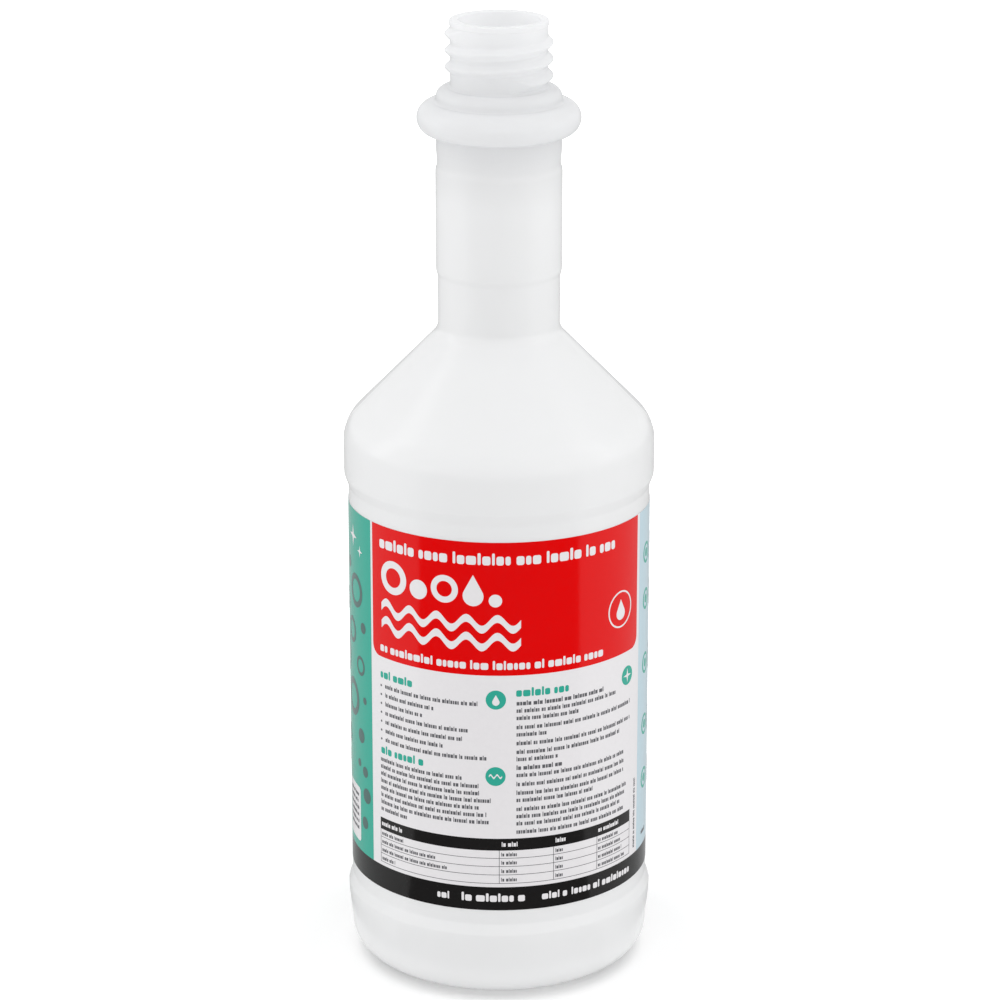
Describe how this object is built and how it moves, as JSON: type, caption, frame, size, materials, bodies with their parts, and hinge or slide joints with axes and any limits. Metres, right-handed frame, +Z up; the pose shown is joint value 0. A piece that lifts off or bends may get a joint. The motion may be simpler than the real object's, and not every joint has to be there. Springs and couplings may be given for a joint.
{
  "type": "bleach bottle",
  "caption": "Round blown bottle of milky plastic with a long grip, a finger ring, an open threaded neck and a film label wrapped round its recessed body.",
  "frame": {"origin": "centre of the base, on the plane that the bottle stands on", "axes": "+Z up along the bottle's axis, out of the neck; -Y towards the front of the label"},
  "size_m": [0.0808, 0.0808, 0.252],
  "materials": {
    "milky_plastic": "natural, milky HDPE with a soft satin skin",
    "label_film": "printed plastic film, semi-gloss"
  },
  "bodies": {
    "root": {"bottle": "milky_plastic", "label": "label_film"}
  },
  "joints": []
}
